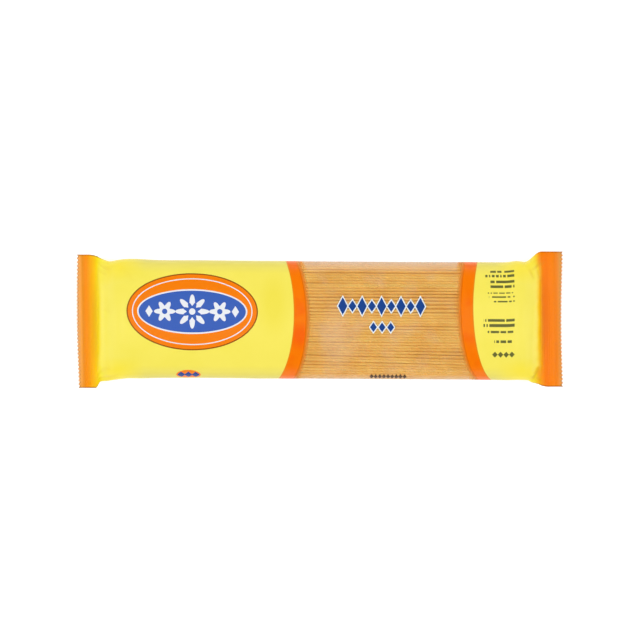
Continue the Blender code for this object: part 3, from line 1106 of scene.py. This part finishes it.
def pushed_outwards(tree, chart, parts):
    """The place along the pack in mm, pushed outwards at the edge of the yellow."""
    along, across = parts.outputs[0], parts.outputs[1]
    reach = add(tree, "ShaderNodeMath", {0: along}, operation="ABSOLUTE")
    inner = add(tree, "ShaderNodeMapRange", {0: reach, 1: 136.5, 2: 132.0})
    waver = add(tree, "ShaderNodeTexNoise", {"Vector": chart, "Scale": 1 / 8, "Detail": 2.0})
    waver = add(tree, "ShaderNodeMapRange", {0: waver, 1: 0.3, 2: 0.7, 3: -0.6, 4: 0.6})
    upper = add(tree, "ShaderNodeMapRange", {0: across, 1: 31.0, 2: 39.0, 3: 0.0, 4: 2.4})
    lower = add(tree, "ShaderNodeMapRange", {0: across, 1: -29.0, 2: -33.0, 3: 0.0, 4: 2.4})
    corner = add(tree, "ShaderNodeMath", {0: upper, 1: lower}, operation="ADD")
    right = add(tree, "ShaderNodeMath", {0: along, 1: 0.0}, operation="GREATER_THAN")
    push = add(tree, "ShaderNodeMath", {0: corner, 1: right, 2: waver}, operation="MULTIPLY_ADD")
    side = add(tree, "ShaderNodeMath", {0: along}, operation="SIGN")
    push = product(tree, push, side, inner)
    push = add(
        tree, "ShaderNodeMath", {0: across, 1: PRINT_LEAN, 2: push}, operation="MULTIPLY_ADD"
    )
    return add(tree, "ShaderNodeMath", {0: along, 1: push}, operation="ADD")


# %% Soft changes of the yellow, painted shade, and dark rims
# The rim brown is ink on the folded edges and painted shadow between the cut teeth.
RIM_INK_AND_SHADOW_BROWN = "#96560E"
# Painted shade in the folds' valleys, where the film also lies double.
FOLD_SHADE_GOLD = "#D9A61E"
# Painted shade: the deeper yellow at the corners of the shoulders.
CORNER_SHADE_YELLOW = "#FFE93A"


def yellow_layers(tree, chart, parts):
    """Deeper patches, and painted shade: on the body's sides, at the corners of the shoulders and in the
    valleys of the folds.
    """
    reach = add(tree, "ShaderNodeMath", {0: parts.outputs[0]}, operation="ABSOLUTE")
    aside = add(tree, "ShaderNodeMath", {0: parts.outputs[1]}, operation="ABSOLUTE")
    body = add(tree, "ShaderNodeMapRange", {0: reach, 1: 133.0, 2: 128.0})
    patches = add(tree, "ShaderNodeTexNoise", {"Vector": chart, "Scale": 1 / 24, "Detail": 3.0})
    patches = add(tree, "ShaderNodeMapRange", {0: patches, 1: 0.45, 2: 0.75, 3: 0.0, 4: 0.6})
    beside_band = soft_oval(tree, chart, (-28.0, 9.0), (12.0, 22.0))
    deep = product(tree, either(tree, [patches, beside_band]), body, 0.8)
    ends = add(tree, "ShaderNodeMapRange", {0: reach, 1: 106.0, 2: 121.0})
    middle = add(tree, "ShaderNodeMath", {0: 1.0, 1: ends}, operation="SUBTRACT")
    # Painted shade: the long sides darker than the middle.
    sides = add(tree, "ShaderNodeMapRange", {0: aside, 1: 28.0, 2: 38.0, 3: 0.0, 4: 0.9})
    above = add(tree, "ShaderNodeMapRange", {0: aside, 1: 54.0, 2: 44.0})
    sides = product(tree, sides, middle, above)
    # Painted shade: a deeper yellow at the corners of the shoulders, where the film turns from the
    # light.
    corners = add(tree, "ShaderNodeMapRange", {0: aside, 1: 22.0, 2: 31.0, 3: 0.0, 4: 0.8})
    corners = product(tree, corners, ends, body, above)
    # Painted shade in the valleys of the folds, where the film also lies double and shows more ink.
    valley = add(tree, "ShaderNodeAttribute", attribute_name="valley", out=2)
    valley = add(tree, "ShaderNodeMath", {0: valley, 1: 0.45}, operation="MULTIPLY")
    inks = [(YELLOW_DEEP, deep), (SIDE_SHADE_YELLOW, sides), (CORNER_SHADE_YELLOW, corners)]
    return inks + [(FOLD_SHADE_GOLD, valley)]


def rim_layers(tree, parts):
    """The folded edges of the seals, and painted shadow in the valleys between the teeth."""
    reach = add(tree, "ShaderNodeMath", {0: parts.outputs[0]}, operation="ABSOLUTE")
    aside = add(tree, "ShaderNodeMath", {0: parts.outputs[1]}, operation="ABSOLUTE")
    seal = add(tree, "ShaderNodeMapRange", {0: reach, 1: 126.0, 2: 136.0})
    folded = add(
        tree, "ShaderNodeMath", {0: aside, 1: QUARTER / MM}, operation="SUBTRACT"
    )
    folded = add(tree, "ShaderNodeMath", {0: folded}, operation="ABSOLUTE")
    folded = add(tree, "ShaderNodeMapRange", {0: folded, 1: 1.1, 2: 0.2, 3: 0.0, 4: 0.7})
    # Painted shadow at each valley between the cut teeth, near the cut.
    to_cut = add(tree, "ShaderNodeAttribute", attribute_name="to_cut", out=2)
    near_cut = add(tree, "ShaderNodeMapRange", {0: to_cut, 1: 1.9, 2: 0.9})
    turns = 2 * math.pi * MM / TOOTH_PITCH
    wave = add(tree, "ShaderNodeMath", {0: parts.outputs[1], 1: turns}, operation="MULTIPLY")
    wave = add(tree, "ShaderNodeMath", {0: wave}, operation="COSINE")
    tooth_shadow = add(tree, "ShaderNodeMapRange", {0: wave, 1: 0.1, 2: 0.9, 3: 0.0, 4: 0.75})
    return [(RIM_INK_AND_SHADOW_BROWN, product(tree, folded, seal)), (RIM_INK_AND_SHADOW_BROWN, product(tree, near_cut, tooth_shadow))]


# %% Printed film material
BAND_ORANGE = "#FD7C03"
BAND_DEEP = "#FB6603"
BAND_LINE = "#D8921E"
# A lighter orange beside the bands: thinning ink with painted sheen over it.
FADED_INK_AND_SHEEN = "#FFA43E"
DASH_INK = "#6A6C38"


def band_layers(tree, chart):
    """The orange band, its redder places and the darker line where it meets the yellow."""
    past = add(tree, "ShaderNodeAttribute", attribute_name="past_band", out=2)
    band = add(tree, "ShaderNodeMath", {0: past, 1: 0.0}, operation="LESS_THAN")
    streaks = add(tree, "ShaderNodeTexNoise", {"Vector": chart, "Scale": 1 / 14, "Detail": 2.0})
    redder = add(tree, "ShaderNodeMapRange", {0: streaks, 1: 0.5, 2: 0.7, 3: 0.0, 4: 0.7})
    redder = either(tree, [redder, soft_oval(tree, chart, (-12.0, -9.5), (9.0, 10.0))])
    line = add(tree, "ShaderNodeMapRange", {0: past, 1: -0.9, 2: -0.2, 3: 0.0, 4: 0.6})
    inks = ((BAND_ORANGE, band), (BAND_DEEP, redder), (BAND_LINE, line))
    return [(code, product(tree, mask, band)) for code, mask in inks]


def printed_film_material():
    """All the inks in the order that they are printed in, under the film's clear gloss."""
    made, tree, shader = blank_material("printed_polypropylene_film")
    chart = film_chart(tree)
    parts = tree.nodes.new("ShaderNodeSeparateXYZ")
    tree.links.new(chart, parts.inputs[0])
    colour = end_ramp(tree, pushed_outwards(tree, chart, parts))
    layers = yellow_layers(tree, chart, parts)
    layers += band_layers(tree, chart)
    layers += medallion_layers(tree, chart)
    layers.append((DASH_INK, dash_rows(tree, parts)))
    layers.append((DASH_INK, lozenges(tree, chart, LAST_ROW, (1.7, 1.8), 3.4, 4)))
    layers += rim_layers(tree, parts)
    tree.links.new(painted(tree, colour, layers), shader.inputs["Base Color"])

    shader.inputs["Roughness"].default_value = 0.24
    shader.inputs["IOR"].default_value = 1.49
    crinkle = add(
        tree, "ShaderNodeTexNoise", {"Vector": chart, "Scale": 1 / 5, "Detail": 4.0}
    )
    bump = add(
        tree, "ShaderNodeBump", {"Height": crinkle, "Strength": 0.4, "Distance": 0.12 * MM}
    )
    tree.links.new(bump, shader.inputs["Normal"])
    return made


printed_polypropylene = printed_film_material()
left_film.data.materials.append(printed_polypropylene)
right_film.data.materials.append(printed_polypropylene)


# %% [markdown]
# ### Clear film
#
# The same film without ink. It lets nearly all light through, and a faint white is painted into it
# for its reflection of the bright studio: along the long sides, where it curves away, in soft
# patches, and in a patch left of the middle, where wrinkles catch the light. Beside the bands a
# little orange still shows, because the ink thins out there, under the same painted sheen. The
# ornament is printed on it in blue with a white edge, both opaque, and a small row of lozenges low
# on the side in a thinner brown.

# %% Clear film material
HALO_WHITE = "#EEF3F4"
SMALL_BROWN = "#5E3A0E"


def clear_film_material():
    """Film whose alpha is a painted sheen with the thinning of the ink, and nearly 1 where it is
    printed.
    """
    made, tree, shader = blank_material("clear_polypropylene_film")
    chart = film_chart(tree)
    outline = [
        lozenges(tree, chart, (37.1, 8.4), (3.6, 6.6), 11.7, 5),
        lozenges(tree, chart, (37.1, 8.4), (3.2, 4.6), 11.7, 4),
        lozenges(tree, chart, (37.4, -4.1), (2.9, 4.0), 5.2, 3),
    ]
    ink = [
        lozenges(tree, chart, (37.1, 8.4), (2.8, 5.3), 11.7, 5),
        lozenges(tree, chart, (37.1, 8.4), (2.4, 3.4), 11.7, 4),
        lozenges(tree, chart, (37.4, -4.1), (2.1, 2.9), 5.2, 3),
    ]
    small = lozenges(tree, chart, (41.2, -35.4), (1.15, 2.2), 2.5, 9)
    halo, blue = either(tree, outline), either(tree, ink)
    past = add(tree, "ShaderNodeAttribute", attribute_name="past_window", out=2)
    inked = add(tree, "ShaderNodeMapRange", {0: past, 1: -5.5, 2: -4.0})
    full = add(tree, "ShaderNodeMapRange", {0: past, 1: -1.6, 2: -0.3})
    layers = [(FADED_INK_AND_SHEEN, inked), (BAND_ORANGE, full), (HALO_WHITE, halo), (DEEP_BLUE, blue)]
    layers.append((SMALL_BROWN, small))
    # The white under the inks is painted reflection of the bright studio, shown as far as the alpha lets
    # it.
    colour = painted(tree, linear("#FFFFFF"), layers)
    tree.links.new(colour, shader.inputs["Base Color"])
    parts = tree.nodes.new("ShaderNodeSeparateXYZ")
    tree.links.new(chart, parts.inputs[0])
    # Painted reflection: the film turns whiter along its long sides, where it curves away.
    aside = add(tree, "ShaderNodeMath", {0: parts.outputs[1], 1: 2.0}, operation="ADD")
    aside = add(tree, "ShaderNodeMath", {0: aside}, operation="ABSOLUTE")
    side_sheen = add(tree, "ShaderNodeMapRange", {0: aside, 1: 31.0, 2: 44.0, 3: 0.0, 4: 0.28})
    below = add(tree, "ShaderNodeMapRange", {0: aside, 1: 54.0, 2: 44.0, 3: 0.2, 4: 1.0})
    side_sheen = product(tree, side_sheen, below)
    # Beside the bands the ink thins out; this rise of alpha is partly painted sheen.
    at_ink = add(tree, "ShaderNodeMapRange", {0: past, 1: -3.2, 2: 0.0, 3: 0.0, 4: 0.78})
    # Painted reflection in soft patches.
    patches = add(tree, "ShaderNodeTexNoise", {"Vector": chart, "Scale": 1 / 16, "Detail": 3.0})
    sheen_patches = add(tree, "ShaderNodeMapRange", {0: patches, 1: 0.5, 2: 0.8, 3: 0.0, 4: 0.06})
    sheen_and_ink_fade = add(tree, "ShaderNodeMath", {0: side_sheen, 1: at_ink}, operation="ADD")
    sheen_and_ink_fade = add(tree, "ShaderNodeMath", {0: sheen_and_ink_fade, 1: sheen_patches}, operation="ADD")
    # Painted reflection where wrinkles catch the light, left of the middle.
    wrinkle_sheen = product(tree, soft_oval(tree, chart, (10.0, -12.0), (12.0, 28.0)), 0.05)
    sheen_and_ink_fade = add(tree, "ShaderNodeMath", {0: sheen_and_ink_fade, 1: wrinkle_sheen}, operation="ADD")
    alpha = either(tree, [sheen_and_ink_fade, halo, blue, product(tree, small, 0.85)])
    tree.links.new(alpha, shader.inputs["Alpha"])
    shader.inputs["Roughness"].default_value = 0.15
    shader.inputs["IOR"].default_value = 1.49
    return made


clear_film.data.materials.append(clear_film_material())


# %% [markdown]
# ### Dry pasta
#
# Durum wheat dough, pressed through bronze or nylon dies and dried until it is hard. It is amber,
# slightly translucent and matt, with fine streaks along each rod. Each rod has its own shade.

# %% Pasta material
def pasta_material():
    """Amber dough, with streaks along the rods, soft clouds and each rod's own tone."""
    made, tree, shader = blank_material("dry_durum_pasta")
    place = add(tree, "ShaderNodeTexCoord", out=3)
    long = add(
        tree, "ShaderNodeMapping",
        {"Vector": place, "Scale": (1 / (120 * MM), 1 / (1.2 * MM), 1 / (1.2 * MM))},
    )
    streaks = add(tree, "ShaderNodeTexNoise", {"Vector": long, "Scale": 1.0, "Detail": 1.0})
    wide = add(
        tree, "ShaderNodeMapping",
        {"Vector": place, "Scale": (1 / (14 * MM), 1 / (9 * MM), 1 / (9 * MM))},
    )
    clouds = add(tree, "ShaderNodeTexNoise", {"Vector": wide, "Scale": 1.0, "Detail": 2.0})
    tone = add(tree, "ShaderNodeAttribute", attribute_name="rod_tone", out=2)
    tone = add(tree, "ShaderNodeMath", {0: tone, 1: 0.22}, operation="MULTIPLY")
    shade = add(tree, "ShaderNodeMath", {0: streaks, 1: 0.12, 2: tone}, operation="MULTIPLY_ADD")
    shade = add(tree, "ShaderNodeMath", {0: clouds, 1: 0.9, 2: shade}, operation="MULTIPLY_ADD")
    ramp = tree.nodes.new("ShaderNodeValToRGB")
    ramp.color_ramp.elements[0].position = 0.1
    ramp.color_ramp.elements[0].color = linear("#DD9D46")
    ramp.color_ramp.elements[1].position = 0.95
    ramp.color_ramp.elements[1].color = linear("#F4C26C")
    tree.links.new(shade, ramp.inputs[0])
    tree.links.new(ramp.outputs[0], shader.inputs["Base Color"])
    shader.inputs["Roughness"].default_value = 0.5
    shader.inputs["IOR"].default_value = 1.5
    shader.inputs["Subsurface Weight"].default_value = 0.35
    shader.inputs["Subsurface Radius"].default_value = (1.0, 0.75, 0.45)
    shader.inputs["Subsurface Scale"].default_value = 1.6 * MM
    bump = add(
        tree, "ShaderNodeBump", {"Height": streaks, "Strength": 0.1, "Distance": 0.05 * MM}
    )
    tree.links.new(bump, shader.inputs["Normal"])
    return made


pasta = pasta_material()
rods.data.materials.append(pasta)
core.data.materials.append(pasta)


# %% [markdown]
# ## The studio
#
# The photograph has a pure white ground with no shadow, as on a table of opal acrylic that is lit
# from below. The ground here is such a table: it glows, and what light falls on it is added. A
# white tent lights the pack evenly from all sides. It is open at the top, where the camera looks
# in, so the film doesn't mirror white into the lens and its inks stay deep. Four soft lamps stand
# in a row over the pack's length: two low ones at its ends, the left one a little stronger, and two
# high ones, so that no slope of the film turns dark. They leave the long sides a little darker than
# the middle, and give the folds their faint shading. The lamps are hidden from mirror rays, so that
# none shows in the film. A faint sheen from their light is still left on its gloss, and lifts the
# blue part of the orange inks a little.

# %% Ground, tent and lamps
TABLE_HALF = 20.0  # metres, so that low views see no end of it
TABLE_GREY = "#C8C8C8"
TABLE_GLOW = 0.65
TENT_LIGHT = 0.72
TENT_WALL = ((0.0, 0.4), (0.3, 1.0), (0.42, 0.9), (0.58, 0.2), (0.72, 0.02))  # by height
LAMP_SPREAD = math.radians(20)
LAMPS = (  # how far to the side each stands for a height of 1, left is below 0, and its energy
    ("low_left_lamp", -1, 1.08),
    ("high_left_lamp", -0.25, 0.58),
    ("high_right_lamp", 0.25, 0.58),
    ("low_right_lamp", 1, 1.0),
)


def studio():
    """The glowing table, the tent as the world's light, and the lamps."""
    bm = bmesh.new()
    bmesh.ops.create_grid(bm, x_segments=1, y_segments=1, size=TABLE_HALF)
    ground = shown_object("opal_table", bm, smooth=False)
    made, tree, shader = blank_material("opal_acrylic")
    shader.inputs["Base Color"].default_value = linear(TABLE_GREY)
    shader.inputs["Roughness"].default_value = 0.9
    shader.inputs["Emission Color"].default_value = (1, 1, 1, 1)
    shader.inputs["Emission Strength"].default_value = TABLE_GLOW
    ground.data.materials.append(made)

    world = bpy.data.worlds.new("light_tent")
    world.use_nodes = True
    tree = world.node_tree
    direction = add(tree, "ShaderNodeTexCoord", out=0)
    parts = tree.nodes.new("ShaderNodeSeparateXYZ")
    tree.links.new(direction, parts.inputs[0])
    wall = tree.nodes.new("ShaderNodeValToRGB")
    tree.links.new(parts.outputs[2], wall.inputs[0])
    stops = wall.color_ramp.elements
    stops.remove(stops[1])
    for number, (height, value) in enumerate(TENT_WALL):
        stop = stops[0] if number == 0 else stops.new(height)
        stop.color = (value, value, value, 1)
    strength = add(
        tree, "ShaderNodeMath", {0: wall.outputs[0], 1: TENT_LIGHT}, operation="MULTIPLY"
    )
    background = tree.nodes["Background"]
    background.inputs["Color"].default_value = (1, 1, 1, 1)
    tree.links.new(strength, background.inputs["Strength"])
    bpy.context.scene.world = world
    for name, side, energy in LAMPS:
        lamp_data = bpy.data.lights.new(name, "SUN")
        lamp_data.angle = LAMP_SPREAD
        lamp_data.energy = energy
        lamp = bpy.data.objects.new(name, lamp_data)
        lamp.rotation_euler = Vector((-side, 0, -1)).to_track_quat("-Z", "Y").to_euler()
        lamp.visible_glossy = False
        bpy.context.scene.collection.objects.link(lamp)
    bpy.context.scene.view_settings.view_transform = "Standard"


studio()
